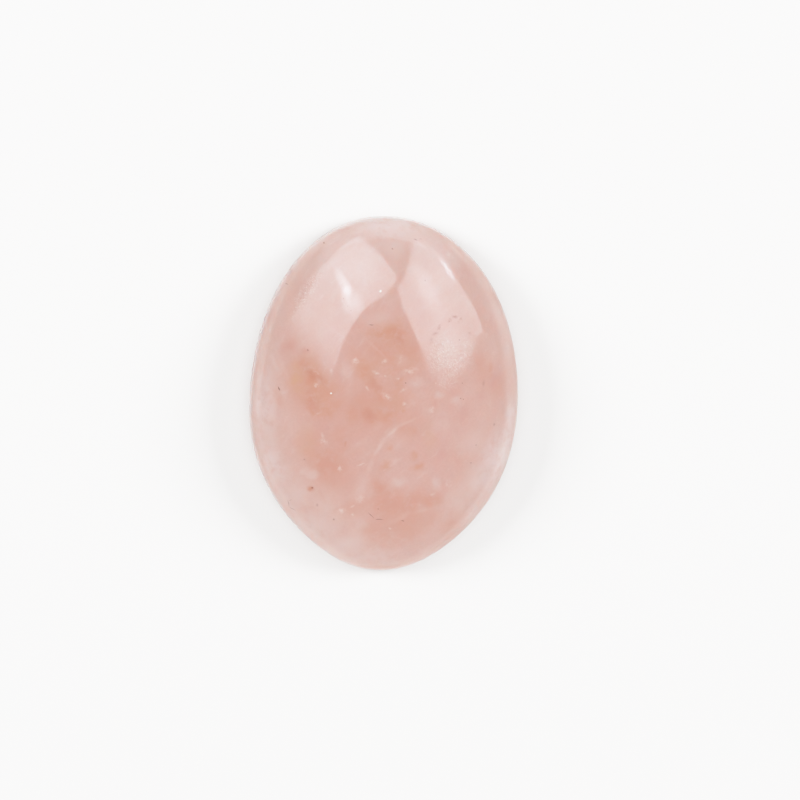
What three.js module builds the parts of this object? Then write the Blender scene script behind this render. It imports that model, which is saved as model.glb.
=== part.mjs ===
// An oval of rose quartz, ground and polished in one piece: a low dome over a narrow girdle, a small
// bevel below it, and a flat back. Lengths are in millimetres.
// +X runs across the stone, +Y along it and +Z out of the dome. The origin is the middle of the flat back.
import * as THREE from "three";

// Driving dimensions
const WIDTH = 30.2; // across the lower edge of the girdle
const LENGTH = 39.9; // along the lower edge of the girdle
const DOME_RISE = 5.8; // from the upper edge of the girdle to the top of the dome
const GIRDLE_HEIGHT = 1.2; // the upright band around the stone
const GIRDLE_DRAFT = 0.1; // how far the lower edge of the girdle stands out past its upper edge
const BEVEL = 0.5; // height and width of the bevel between the girdle and the back

// Across the stone the dome is part of an ellipse, followed from its top down to this angle of it,
// so that it meets the girdle at a slight edge.
const DOME_EDGE_ANGLE = THREE.MathUtils.degToRad(80);

// The outline was ground by eye, so it leaves a true oval by a few low waves. Each has a count of crests
// around the stone, a height, and the angle of one crest in degrees, turned from +X towards +Y.
const OUTLINE_WAVES = [
  { count: 3, height: 0.04, crest: -12 },
  { count: 4, height: 0.06, crest: 10 },
  { count: 5, height: 0.11, crest: -20 },
  { count: 6, height: 0.05, crest: 27 },
];
const WAVE_FADE_POWER = 3; // the waves die out towards the top of the dome

// Facets of the model
const AROUND = 96; // steps around the stone
const DOME_STEPS = 18; // steps from the top of the dome to the girdle

// Sizes that follow from the ones above. The stone is first turned round at its mean radius.
const MEAN_RADIUS = (WIDTH + LENGTH) / 4;
const STRETCH = (LENGTH - WIDTH) / 4; // added to the mean radius along the stone, and taken off across it
const UPPER_EDGE_RADIUS = MEAN_RADIUS - GIRDLE_DRAFT;
const GIRDLE_TOP = BEVEL + GIRDLE_HEIGHT;

// Section of the stone, from the middle of the back around the rim to the top of the dome.
function sectionPoints() {
  const points = [
    new THREE.Vector2(0, 0),
    new THREE.Vector2(MEAN_RADIUS - BEVEL, 0),
    new THREE.Vector2(MEAN_RADIUS, BEVEL),
  ];
  const fullRise = DOME_RISE / (1 - Math.cos(DOME_EDGE_ANGLE));
  for (let step = 0; step <= DOME_STEPS; step++) {
    const angle = DOME_EDGE_ANGLE * (1 - step / DOME_STEPS);
    const radius = (UPPER_EDGE_RADIUS * Math.sin(angle)) / Math.sin(DOME_EDGE_ANGLE);
    const rise = fullRise * (Math.cos(angle) - Math.cos(DOME_EDGE_ANGLE));
    points.push(new THREE.Vector2(radius, GIRDLE_TOP + rise));
  }
  return points;
}

// How far the outline stands out from a true oval in a direction.
function outlineWave(direction) {
  let sum = 0;
  for (const { count, height, crest } of OUTLINE_WAVES) {
    sum += height * Math.cos(count * (direction - THREE.MathUtils.degToRad(crest)));
  }
  return sum;
}

// Turns the round body into the oval one. The dome keeps its proportions, and the girdle and the bevel
// keep the same width all the way around.
function makeOval(geometry) {
  const position = geometry.getAttribute("position");
  for (let i = 0; i < position.count; i++) {
    const radius = Math.hypot(position.getX(i), position.getY(i));
    const direction = Math.atan2(position.getY(i), position.getX(i));
    const share = Math.min(1, radius / UPPER_EDGE_RADIUS);
    const wave = outlineWave(direction) * share ** WAVE_FADE_POWER;
    const across = radius - STRETCH * share + wave;
    const along = radius + STRETCH * share + wave;
    position.setXY(i, across * Math.cos(direction), along * Math.sin(direction));
  }
}

// Brings the outline to its exact width and length, with the origin in its middle.
function fitOutline(geometry) {
  geometry.computeBoundingBox();
  const middle = geometry.boundingBox.getCenter(new THREE.Vector3());
  const size = geometry.boundingBox.getSize(new THREE.Vector3());
  geometry.translate(-middle.x, -middle.y, 0);
  geometry.scale(WIDTH / size.x, LENGTH / size.y, 1);
}

function stoneGeometry() {
  const geometry = new THREE.LatheGeometry(sectionPoints(), AROUND);
  geometry.rotateX(Math.PI / 2); // the turning axis becomes +Z
  makeOval(geometry);
  fitOutline(geometry);
  geometry.computeVertexNormals();
  return geometry;
}

const roseQuartz = new THREE.MeshStandardMaterial({
  color: "#dbac9f",
  roughness: 0.12,
  metalness: 0,
});

const stone = new THREE.Mesh(stoneGeometry(), roseQuartz);
stone.name = "rose_quartz_stone";

const group = new THREE.Group();
group.add(stone);

export default group;
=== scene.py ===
"""An oval of rose quartz, ground and polished in one piece, lying on its flat back under two softboxes."""

import logging
import math
from dataclasses import dataclass
from enum import Enum

import bpy
from mathutils import Euler, Matrix, Vector


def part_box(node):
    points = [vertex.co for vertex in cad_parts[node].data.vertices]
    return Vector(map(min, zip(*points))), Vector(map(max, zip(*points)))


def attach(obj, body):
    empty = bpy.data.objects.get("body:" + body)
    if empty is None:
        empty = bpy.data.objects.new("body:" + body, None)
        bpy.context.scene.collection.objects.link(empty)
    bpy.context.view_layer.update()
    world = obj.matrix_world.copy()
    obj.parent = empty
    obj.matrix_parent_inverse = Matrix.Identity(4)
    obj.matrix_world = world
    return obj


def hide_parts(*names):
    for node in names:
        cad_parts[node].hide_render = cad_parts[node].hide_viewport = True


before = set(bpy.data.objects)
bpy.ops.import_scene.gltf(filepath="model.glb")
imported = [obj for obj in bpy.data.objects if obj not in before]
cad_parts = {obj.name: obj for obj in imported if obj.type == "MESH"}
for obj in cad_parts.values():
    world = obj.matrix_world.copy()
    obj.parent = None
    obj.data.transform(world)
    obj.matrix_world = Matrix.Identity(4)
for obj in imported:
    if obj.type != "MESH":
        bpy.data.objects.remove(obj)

log = logging.getLogger("rose_quartz")

MM = 0.001  # metres in a millimetre
CAD_NODE = "rose_quartz_stone"
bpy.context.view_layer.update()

Tree = bpy.types.NodeTree
Socket = bpy.types.NodeSocket


def linear(colour: str) -> tuple[float, float, float, float]:
    """Turns an sRGB hex colour into linear light.

    Args:
        colour: six hex digits after a hash sign.

    Returns:
        Red, green, blue and an alpha of 1.
    """
    channels = [int(colour[i : i + 2], 16) / 255 for i in (1, 3, 5)]
    bent = [c / 12.92 if c <= 0.04045 else ((c + 0.055) / 1.055) ** 2.4 for c in channels]
    return (*bent, 1.0)


def add_node(
    tree: Tree, kind: str, inputs: dict | None = None, output: str | int = 0, **settings
) -> Socket | None:
    """Adds a node with its settings, and fills or links its inputs.

    Args:
        tree: the node tree that gets the node.
        kind: the node's type name.
        inputs: a value, or the output socket that feeds it, for each input's name or number.
        output: the name or number of the output that is wanted.
        settings: the node's own properties.

    Returns:
        That output, or nothing where the node has no outputs.
    """
    node = tree.nodes.new(kind)
    for name, value in settings.items():
        setattr(node, name, value)
    for key, value in (inputs or {}).items():
        socket = node.inputs[key]
        if isinstance(value, Socket):
            tree.links.new(value, socket)
        else:
            socket.default_value = value
    return node.outputs[output] if node.outputs else None


def work_out(
    tree: Tree, known: dict[str, Socket | float], steps: tuple[tuple, ...], kind: str = "ShaderNodeMath"
) -> dict[str, Socket | float]:
    """Adds the nodes of a formula, one operation a step.

    Args:
        tree: the node tree.
        known: what the formula starts from, by name.
        steps: each step's result, its operation and its terms, which are names or values.
        kind: the type name of the nodes.

    Returns:
        All that is known after the last step, by name.
    """
    found = dict(known)
    for result, operation, *terms in steps:
        inputs = {slot: found.get(term, term) for slot, term in enumerate(terms)}
        found[result] = add_node(tree, kind, inputs, operation=operation)
    return found


class Tint(Enum):
    """What colours the quartz from place to place, as sRGB hex."""

    HEART = "#dcb4ab"  # thick middle of the stone, where the pink is deepest
    BODY = "#ddb9b0"
    FLANK = "#dbb9b1"  # thinner stone, with less colour to look through; the paler tint is painted light through it
    # palest at the edge: painted light that the thin rim lets through
    RIM = "#dabab1"
    SHADE = "#d4ada3"  # painted shade at the rim, where it mirrors nothing pale, and a painted contact shadow along the bottom edge
    # pale lilac: painted light that the thin girdle lets through
    GIRDLE = "#e6d6d8"
    AMBER = "#d8a692"  # iron-stained clouds
    CLAY = "#d8a798"
    DEEP = "#d19882"
    OCHRE = "#dab198"
    ROSE = "#d8aca4"
    MILK = "#e3c8c2"  # tiny bubbles, which scatter white
    # pale bands along the rim: painted reflection of the pale surroundings, partly the stone's own frosting
    SHEEN_AND_FROST = "#e8d3d1"
    CRACK = "#eedad5"  # healed cracks
    GLINT = "#fff6f2"  # painted glints: white specks of mirrored light, on a few dots and in the pits
    RUST = "#93492f"  # iron oxide in a pinhole
    HAIR = "#8d675d"  # scratches and specks
    SOIL = "#b58a7d"  # pits that polishing has filled


class Drift(Enum):
    """How far a layer's patches stray from plain ovals."""

    LOOSE = "loose"  # torn, uneven clouds
    FRAYED = "frayed"  # smudges with a frayed outline
    FINE = "fine"  # slightly irregular threads and specks


@dataclass(frozen=True)
class Field:
    """A bent view of the dome, in which plain ovals become clouds."""

    solid: Socket  # the bent place in the stone, in millimetres
    place: Socket  # the same seen from above
    torn: Socket | float  # how far a place counts as outside every patch


@dataclass(frozen=True)
class Grain:
    """A noise with lumps of a real size, spread over a range."""

    size_mm: float
    detail: float
    roughness: float
    low: float = 0.0  # share of the noise that gives the least
    high: float = 1.0
    least: float = 0.0
    most: float = 1.0

    def spread(self, tree: Tree, point: Socket) -> Socket:
        """Adds the noise and spreads it.

        Args:
            tree: the material's nodes.
            point: the place in the stone, in millimetres.

        Returns:
            The spread noise.
        """
        lumps = {"Scale": 1 / self.size_mm, "Detail": self.detail, "Roughness": self.roughness}
        noise = add_node(tree, "ShaderNodeTexNoise", {"Vector": point, **lumps})
        ends = {"From Min": self.low, "From Max": self.high, "To Min": self.least, "To Max": self.most}
        return add_node(tree, "ShaderNodeMapRange", {"Value": noise, **ends})


@dataclass(frozen=True)
class Mottling:
    """An all-over clouding of one tint, combed in one direction."""

    tint: Tint
    across: float  # millimetres across a lump
    along: float
    turn: float  # degrees anticlockwise
    low: float  # share of the noise where the clouds begin
    high: float  # and where they are full
    strength: float


@dataclass(frozen=True)
class Patch:
    """An oval place on the dome, in millimetres seen from above."""

    x: float
    y: float
    wide: float
    long: float
    turn: float  # degrees anticlockwise
    strength: float


@dataclass(frozen=True)
class Layer:
    """Patches of one tint, from the surface down. Each row holds a Patch's values."""

    tint: Tint
    rows: tuple[tuple[float, ...], ...]
    drift: Drift = Drift.LOOSE
    edge: float = 0.0  # 0 fades from a patch's middle outwards, towards 1 it keeps an edge

    def share(self, tree: Tree, fields: dict[Drift, Field]) -> Socket:
        """Works out how strongly the layer shows at each place.

        Args:
            tree: the material's nodes.
            fields: the bent place on the dome for each drift.

        Returns:
            The strength, from 0 to 1.
        """
        field = fields[self.drift]
        strongest = 0.0
        for patch in (Patch(*row) for row in self.rows):
            # Vector Math in place of Mapping: a hundred Mapping nodes overflow the renderer's memory.
            turn = math.radians(patch.turn)
            across = Vector((math.cos(turn), math.sin(turn), 0)) * 2 / patch.wide
            along = Vector((-math.sin(turn), math.cos(turn), 0)) * 2 / patch.long
            centre = Vector((patch.x, patch.y, 0))
            parts = {"Z": field.torn}
            for axis, way in (("X", across), ("Y", along)):
                both = {0: field.place, 1: tuple(way)}
                parts[axis] = add_node(tree, "ShaderNodeVectorMath", both, "Value", operation="DOT_PRODUCT")
            local = add_node(tree, "ShaderNodeCombineXYZ", parts)
            ends = {0: local, 1: (across.dot(centre), along.dot(centre), 0)}
            away = add_node(tree, "ShaderNodeVectorMath", ends, "Value", operation="DISTANCE")
            here = add_node(
                tree,
                "ShaderNodeMapRange",
                {"Value": away, "From Min": 1.0, "From Max": self.edge, "To Max": patch.strength},
                interpolation_type="SMOOTHSTEP",
            )
            strongest = add_node(tree, "ShaderNodeMath", {0: here, 1: strongest}, operation="MAXIMUM")
        return strongest


@dataclass(frozen=True)
class PolishedRoseQuartz:
    """Rose quartz, ground and polished: milky and translucent, with a glassy skin.

    The body scatters light, so the colour looks deepest where the stone is thick and turns pale at the
    rim; that paling is also painted into the colour, as painted light through the thin edge. Iron stains it
    amber in clouds, healed cracks show as white threads and flecks, and pinholes, fine scratches and a
    pitted patch break the gloss. Painted reflection lightens parts of the rim, painted shade darkens
    others, and painted glints sit on a few dots and in the pits. The back is only ground, and stays matt.
    """

    mottling: tuple[Mottling, ...]
    layers: tuple[Layer, ...]
    pitted: Layer
    ior: float = 1.544
    polish: float = 0.065  # roughness of the polished dome
    rim_polish: float = 0.18  # roughness low on the dome, where the polish is softer
    rim_polish_mm: tuple[float, float] = (5.0, 3.0)  # heights where the softer polish sets in and is full
    ground: float = 0.42  # roughness of the back
    back_skin_mm: float = 0.06  # how high above the back the matt finish reaches
    pit_dullness: float = 0.14  # roughness that the pits add
    pit_depth_mm: float = 0.05
    scatter_mm: float = 2.2
    scatter_by_channel: tuple[float, float, float] = (1.0, 0.6, 0.5)  # red light goes furthest
    seen_through: float = 0.5  # how strongly the dome's clouds still show from the back
    seen_through_mm: float = 1.5  # height from which they show in full
    clouds_centre_mm: tuple[float, float] = (0.0, 0.17)  # where on the stone the layers' own middle lies
    heart_mm: tuple[float, float] = (0.4, -0.5)  # where the colour is deepest, from there
    zones: tuple[tuple[float, Tint], ...] = (
        (0.5, Tint.HEART),
        (0.75, Tint.BODY),
        (0.9, Tint.FLANK),
        (1.0, Tint.RIM),
    )  # shares of the way out to the rim; the paler outer tints are painted light through the thinning stone
    girdle_mm: tuple[float, float] = (0.5, 1.7)  # the girdle's lower and upper edge, above the back
    girdle_fade_mm: float = 0.6  # how far its tint reaches up the dome
    girdle_share: float = 0.45  # how much of the thin girdle's pale lilac, painted light through it, shows there
    # For each drift, the size of the noise that pushes places sideways, and how far it pushes them
    bends_mm: tuple[tuple[Drift, float, float], ...] = ((Drift.FINE, 0.8, 0.3), (Drift.LOOSE, 2.4, 1.4))
    torn: Grain = Grain(1.1, 3.0, 0.62, 0.38, 0.72, most=0.7)  # holes in the loose clouds
    frayed: Grain = Grain(0.34, 2.0, 0.6, 0.38, 0.66, most=0.85)  # threads at a smudge's edge
    sugar: Grain = Grain(0.22, 1.0, 0.5, 0.3, 0.7, 0.98, 1.02)  # paler and darker crystals
    painted_sparkle: Grain = Grain(0.15, 2.0, 0.7, 0.52, 0.75, 0.1, 0.9)  # painted sparkle in the pits, over a slight whitening of the pitted skin; lumps wide enough to show
    pits: Grain = Grain(0.18, 1.0, 0.5)
    combing_step: tuple[float, float, float] = (17.0, 31.0, 0.0)  # keeps the mottlings' noises apart

    def material(self, half_width_mm: float, half_length_mm: float) -> bpy.types.Material:
        """Builds the material.

        Args:
            half_width_mm: half the stone's width.
            half_length_mm: half the stone's length.

        Returns:
            The material.
        """
        made = bpy.data.materials.new("polished_rose_quartz")
        made.use_nodes = True
        tree = made.node_tree
        tree.nodes.clear()
        place = add_node(tree, "ShaderNodeTexCoord", output="Object")
        point = add_node(tree, "ShaderNodeVectorMath", {0: place, "Scale": 1 / MM}, operation="SCALE")
        height = add_node(tree, "ShaderNodeSeparateXYZ", {0: point}, output="Z")
        fields = self._fields(tree, point)
        reach = (1 / half_width_mm, 1 / half_length_mm, 0)
        colour = self._body(tree, fields[Drift.FINE].place, reach)
        colour = self._mottle(tree, fields[Drift.LOOSE].solid, colour)
        ends = {"From Max": self.seen_through_mm, "To Min": self.seen_through}
        nearness = add_node(tree, "ShaderNodeMapRange", {"Value": height, **ends})
        for layer in self.layers:
            share = layer.share(tree, fields)
            seen = add_node(tree, "ShaderNodeMath", {0: share, 1: nearness}, operation="MULTIPLY")
            colour = self._lay(tree, colour, layer.tint, seen)
        colour = self._lay(tree, colour, Tint.GIRDLE, self._on_girdle(tree, height))
        pitted = self.pitted.share(tree, fields)
        # Painted sparkle: the glint tint laid over the pitted patches
        glitter = self.painted_sparkle.spread(tree, point)
        sparkle_share = add_node(tree, "ShaderNodeMath", {0: glitter, 1: pitted}, operation="MULTIPLY")
        colour = self._lay(tree, colour, self.pitted.tint, sparkle_share)
        shader = add_node(
            tree,
            "ShaderNodeBsdfPrincipled",
            {
                "Base Color": colour,
                "IOR": self.ior,
                "Roughness": self._roughness(tree, height, pitted),
                "Normal": self._relief(tree, point, pitted),
                "Subsurface Weight": 1.0,
                "Subsurface Radius": self.scatter_by_channel,
                "Subsurface Scale": self.scatter_mm * MM,
            },
            subsurface_method="RANDOM_WALK",
        )
        add_node(tree, "ShaderNodeOutputMaterial", {"Surface": shader})
        return made

    def _lay(self, tree: Tree, colour: Socket, tint: Tint, share: Socket) -> Socket:
        """Returns the colour with a share of a tint laid over it."""
        mixed = {0: share, 6: colour, 7: linear(tint.value)}
        return add_node(tree, "ShaderNodeMix", mixed, 2, data_type="RGBA")

    def _fields(self, tree: Tree, point: Socket) -> dict[Drift, Field]:
        """Bends the place seen from above, so that no patch has a plain outline.

        Args:
            tree: the material's nodes.
            point: the place in the stone, in millimetres.

        Returns:
            The bent place for each drift. The loose one also tears holes in its patches.
        """
        centre = (*self.clouds_centre_mm, 0)
        bent = add_node(tree, "ShaderNodeVectorMath", {0: point, 1: centre}, operation="SUBTRACT")
        fields = {}
        for drift, size_mm, reach_mm in self.bends_mm:
            lumps = {"Vector": point, "Scale": 1 / size_mm, "Detail": 2.0, "Roughness": 0.6}
            noise = add_node(tree, "ShaderNodeTexNoise", lumps, "Color")
            pushed = {0: noise, 1: (reach_mm, reach_mm, 0), 2: bent}
            bent = add_node(tree, "ShaderNodeVectorMath", pushed, operation="MULTIPLY_ADD")
            half = (reach_mm / 2, reach_mm / 2, 0)
            bent = add_node(tree, "ShaderNodeVectorMath", {0: bent, 1: half}, operation="SUBTRACT")
            flat = add_node(tree, "ShaderNodeVectorMath", {0: bent, 1: (1, 1, 0)}, operation="MULTIPLY")
            torn = self.torn.spread(tree, point) if drift is Drift.LOOSE else 0.0
            fields[drift] = Field(bent, flat, torn)
        fine = fields[Drift.FINE]
        fields[Drift.FRAYED] = Field(fine.solid, fine.place, self.frayed.spread(tree, point))
        return fields

    def _on_girdle(self, tree: Tree, height: Socket) -> Socket:
        """Works out how much of the girdle's pale lilac shows, painted light through the thin girdle, fading
        out above and on the bevel below.

        Args:
            tree: the material's nodes.
            height: the height above the back, in millimetres.

        Returns:
            The share, from 0 to 1.
        """
        low, high = self.girdle_mm
        fade = {"From Min": high + self.girdle_fade_mm, "From Max": high, "To Max": self.girdle_share}
        below = add_node(
            tree, "ShaderNodeMapRange", {"Value": height, **fade}, interpolation_type="SMOOTHSTEP"
        )
        above = add_node(tree, "ShaderNodeMapRange", {"Value": height, "From Max": low})
        return add_node(tree, "ShaderNodeMath", {0: below, 1: above}, operation="MULTIPLY")

    def _body(self, tree: Tree, place: Socket, reach: tuple[float, float, float]) -> Socket:
        """Colours the stone from its heart to its rim, paling outwards as painted light through the thinning
        stone.

        Args:
            tree: the material's nodes.
            place: the slightly bent place on the dome, in millimetres.
            reach: 1 over half the stone's width and half its length.

        Returns:
            The colour.
        """
        heart = (*self.heart_mm, 0)
        from_heart = add_node(tree, "ShaderNodeVectorMath", {0: place, 1: heart}, operation="SUBTRACT")
        oval = add_node(tree, "ShaderNodeVectorMath", {0: from_heart, 1: reach}, operation="MULTIPLY")
        out = add_node(tree, "ShaderNodeVectorMath", {0: oval}, "Value", operation="LENGTH")
        colour = add_node(tree, "ShaderNodeValToRGB", {"Fac": out})
        stops = colour.node.color_ramp.elements
        while len(stops) < len(self.zones):
            stops.new(0.5)
        for stop, (share, tint) in zip(stops, self.zones):
            stop.position = share
            stop.color = linear(tint.value)
        return colour

    def _mottle(self, tree: Tree, point: Socket, colour: Socket) -> Socket:
        """Clouds the whole stone with broad stains, milky wisps and a sugary grain.

        Args:
            tree: the material's nodes.
            point: the place in the stone, in millimetres.
            colour: the colour so far.

        Returns:
            The mottled colour.
        """
        for number, clouds in enumerate(self.mottling, start=1):
            combed = add_node(
                tree,
                "ShaderNodeMapping",
                {
                    "Vector": point,
                    "Location": tuple(Vector(self.combing_step) * number),
                    "Rotation": (0, 0, math.radians(clouds.turn)),
                    "Scale": (clouds.across, clouds.along, clouds.across),
                },
                vector_type="TEXTURE",
            )
            lumps = Grain(1.0, 2.0, 0.5, clouds.low, clouds.high, most=clouds.strength)
            colour = self._lay(tree, colour, clouds.tint, lumps.spread(tree, combed))
        sugar = self.sugar.spread(tree, point)
        return add_node(tree, "ShaderNodeVectorMath", {0: colour, "Scale": sugar}, operation="SCALE")

    def _roughness(self, tree: Tree, height: Socket, pitted: Socket) -> Socket:
        """Works out the roughness: polished above, ground matt on the back, and duller where it is pitted.

        Args:
            tree: the material's nodes.
            height: the height above the back, in millimetres.
            pitted: how pitted the surface is, from 0 to 1.

        Returns:
            The roughness.
        """
        roughness = self.polish
        for (starts, full), duller in (
            (self.rim_polish_mm, self.rim_polish),
            ((self.back_skin_mm, 0.0), self.ground),
        ):
            ends = {"From Min": starts, "From Max": full, "To Min": roughness, "To Max": duller}
            roughness = add_node(tree, "ShaderNodeMapRange", {"Value": height, **ends})
        dulled = {0: pitted, 1: self.pit_dullness, 2: roughness}
        return add_node(tree, "ShaderNodeMath", dulled, operation="MULTIPLY_ADD")

    def _relief(self, tree: Tree, point: Socket, pitted: Socket) -> Socket:
        """Works out the surface's fine relief: crystal-sized pits where polishing stopped short.

        Args:
            tree: the material's nodes.
            point: the place in the stone, in millimetres.
            pitted: how pitted the surface is, from 0 to 1.

        Returns:
            The bent normal.
        """
        pits = self.pits.spread(tree, point)
        height = add_node(tree, "ShaderNodeMath", {0: pits, 1: pitted}, operation="MULTIPLY")
        depth = self.pit_depth_mm * MM
        return add_node(tree, "ShaderNodeBump", {"Height": height, "Distance": depth, "Strength": 1.0})


MOTTLING = (
    Mottling(Tint.AMBER, 4.0, 5.0, -20, 0.5, 0.8, 0.22),
    Mottling(Tint.ROSE, 2.8, 3.6, 30, 0.5, 0.8, 0.28),
    Mottling(Tint.MILK, 2.0, 3.2, -45, 0.5, 0.8, 0.3),
    Mottling(Tint.MILK, 0.9, 3.6, -48, 0.54, 0.85, 0.3),
    Mottling(Tint.MILK, 0.6, 1.8, 35, 0.54, 0.85, 0.2),
    Mottling(Tint.CRACK, 0.35, 2.4, -46, 0.6, 0.85, 0.2),
)
ROSE_CLOUDS = (
    (-12.4, -0.6, 2.2, 1.6, -20, 0.9), (-11.2, 5.4, 2.2, 3.0, -30, 0.9), (-9.4, 5.2, 1.5, 1.4, 0, 0.8),
    (6.9, 1.3, 1.7, 1.8, 0, 0.9), (12.0, 2.3, 3.2, 4.6, -10, 0.9), (10.6, 0.4, 1.7, 2.3, -20, 0.6),
    (8.3, -1.6, 1.8, 3.0, -15, 0.9), (6.2, -6.0, 2.6, 3.4, 0, 0.6), (8.0, -7.0, 1.6, 1.6, 0, 0.6),
    (4.3, 2.2, 1.0, 0.9, 0, 0.7), (5.2, -0.4, 0.8, 1.1, 0, 0.7), (-6.9, -3.3, 0.8, 1.0, 0, 0.7),
)
AMBER_CLOUDS = (
    (-8.7, 2.3, 5.0, 8.4, 18, 1.0), (-8.0, 0.6, 7.0, 5.4, 0, 0.95), (-6.9, -1.2, 5.6, 3.6, 20, 0.85),
    (-8.6, -1.4, 1.6, 2.6, 30, 0.8), (-0.4, 7.4, 8.6, 4.6, 8, 1.0), (0.7, 6.3, 1.2, 3.2, 0, 0.8),
    (-2.9, 3.3, 3.4, 6.4, 25, 0.95), (-1.2, 0.2, 3.4, 4.0, 20, 0.8), (-0.6, -1.6, 7.4, 3.4, 0, 0.9),
    (1.6, -1.3, 1.3, 1.5, 20, 0.9), (-4.0, -1.8, 2.6, 3.4, -20, 0.85), (1.2, 1.7, 3.6, 3.0, 30, 0.8),
    (-1.6, 4.0, 3.6, 3.0, 0, 0.7), (2.7, 4.6, 3.0, 2.4, 0, 0.6), (0.5, 5.0, 11.0, 11.0, 0, 0.7),
    (0.3, -0.3, 10.0, 8.0, 0, 0.6), (-0.3, -7.3, 2.6, 1.8, 0, 0.8), (2.8, -6.1, 1.5, 1.7, 0, 0.8),
    (3.3, -7.4, 2.2, 1.6, 0, 0.8), (0.1, -5.4, 1.2, 1.1, 0, 0.7), (2.3, -3.3, 2.6, 2.0, 0, 0.6),
    (11.3, 3.0, 1.2, 2.2, 0, 0.6),
)
BROAD_STAINS = (
    (-3.2, -0.9, 9.4, 8.4, 0, 0.7), (1.0, -3.2, 9.0, 5.0, 0, 0.5), (-10.2, 1.4, 4.6, 9.8, 10, 0.6),
    (-12.4, -0.4, 2.4, 3.6, 0, 0.6), (-8.4, -4.8, 5.4, 9.4, 0, 0.5), (-6.0, -9.4, 7.4, 6.6, 0, 0.6),
    (2.2, -13.9, 14.0, 4.2, 5, 0.6), (7.6, -14.2, 3.8, 5.4, -40, 0.6), (10.3, 3.4, 3.2, 8.0, 10, 0.5),
    (12.2, 1.0, 2.8, 4.4, 0, 0.4), (-1.2, 5.2, 13.0, 4.0, 0, 0.4), (-11.0, 5.4, 3.4, 6.0, -20, 0.3),
    (-3.4, -12.2, 6.0, 4.0, 10, 0.5), (-7.4, 9.6, 4.0, 6.0, -20, 0.15), (2.6, 5.8, 3.0, 2.8, 0, 0.5),
)
OCHRE_CLOUDS = (
    (-10.2, 2.0, 2.8, 4.6, 10, 0.75), (4.5, -4.2, 2.6, 5.0, 0, 0.35), (-9.0, -5.0, 3.0, 5.4, 0, 0.35),
)
CLAY_CLOUDS = (
    (0.2, -11.6, 6.6, 6.0, 0, 0.85), (2.6, -11.7, 6.0, 4.4, 0, 0.8), (4.8, -11.5, 5.6, 2.8, 8, 0.85),
    (5.4, -10.6, 2.4, 2.2, 0, 0.6), (-1.0, -9.9, 3.4, 3.0, 0, 0.9), (-6.8, -7.3, 6.4, 5.4, -20, 0.9),
    (-5.6, -4.6, 4.4, 5.4, -30, 0.6), (1.6, -15.4, 8.5, 4.2, 8, 0.55), (-1.2, -15.4, 5.0, 3.2, 0, 0.5),
)
DEEP_CLOUDS = (
    (-8.2, 2.5, 1.6, 5.0, 50, 0.6), (-8.3, -0.6, 2.4, 3.4, 20, 0.5), (-1.7, 1.6, 1.9, 4.0, 40, 0.45),
    (-2.2, -1.9, 2.3, 3.2, 0, 0.45), (0.8, 6.8, 2.4, 3.0, 0, 0.5), (-4.8, -4.9, 0.5, 0.8, -30, 0.6),
)
MILKY_CLOUDS = (
    (-13.4, -1.5, 4.4, 13.0, 0, 0.9), (-12.2, -8.8, 5.0, 9.5, 24, 0.9), (-7.9, -14.9, 6.0, 9.0, 50, 0.85),
    (-8.3, 16.2, 2.2, 8.0, -52, 0.4), (-0.3, 17.4, 12.0, 3.6, 0, 0.5), (6.7, 15.4, 3.4, 4.0, 50, 0.7),
    (11.9, 9.3, 2.4, 6.0, 28, 0.3), (-7.4, -12.4, 8.0, 9.0, -30, 0.5), (8.6, -11.6, 6.5, 10.0, -30, 0.45),
    (-12.6, 3.4, 1.1, 4.8, 25, 0.5), (-11.5, 0.3, 1.0, 1.6, 0, 0.7), (-1.5, -18.2, 12.0, 3.4, 0, 0.8),
    (0.2, -3.9, 1.7, 8.0, -42, 0.4), (1.2, -9.3, 3.2, 1.7, 25, 0.8), (0.9, -6.6, 1.5, 1.1, 0, 0.7),
    (5.6, -9.6, 1.9, 2.6, 0, 0.6), (-3.2, -14.4, 3.2, 4.0, 0, 0.6), (2.8, 1.9, 2.2, 1.8, 0, 0.6),
    (5.6, 0.4, 1.6, 1.0, 0, 0.7), (7.4, 0.1, 1.8, 1.1, 0, 0.6), (-4.8, 3.2, 2.6, 3.4, 0, 0.5),
    (5.8, -2.6, 3.4, 4.0, 0, 0.45),
)
BROAD_MISTS = (
    (-10, -11.2, 4.8, 5.4, -30, 0.65), (-4.2, -16.8, 7.8, 3.8, 20, 0.9), (-6.2, -14.8, 4.0, 3.0, -30, 0.35),
    (-12.8, -5.2, 3.0, 4.6, 10, 0.5), (9.4, -4.8, 4.8, 4.6, 0, 0.45), (10.4, -9.4, 4.8, 5.2, -30, 0.6),
    (-7.6, 14.6, 2.8, 8.0, -52, 0.45), (7.2, 14.8, 3.6, 3.2, 50, 0.45), (-1.4, 8.8, 6.4, 2.6, 0, 0.4),
    (0.2, 16.4, 5.0, 3.6, 0, 0.85), (1.2, 4.2, 2.4, 2.2, 0, 0.25),
)
# Painted reflection: pale bands along the flanks and a crescent at the top, where the dome mirrors the pale
# surroundings, with one pale fleck of the stone's own
RIM_SHEEN_AND_FROST = (
    (12.6, -6.6, 6.0, 11.0, -20, 0.85), (13.9, -2.6, 2.2, 6.0, 0, 0.65), (10.6, -9.6, 3.0, 3.6, -40, 0.3),
    (-13.6, -1.0, 3.4, 9.0, 0, 0.45), (-12.7, -7.4, 3.0, 7.0, 25, 0.55), (0.2, 19.6, 17.0, 5.0, 0, 0.95),
    (-12.8, 9.6, 1.4, 2.8, -20, 0.35),
)
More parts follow.
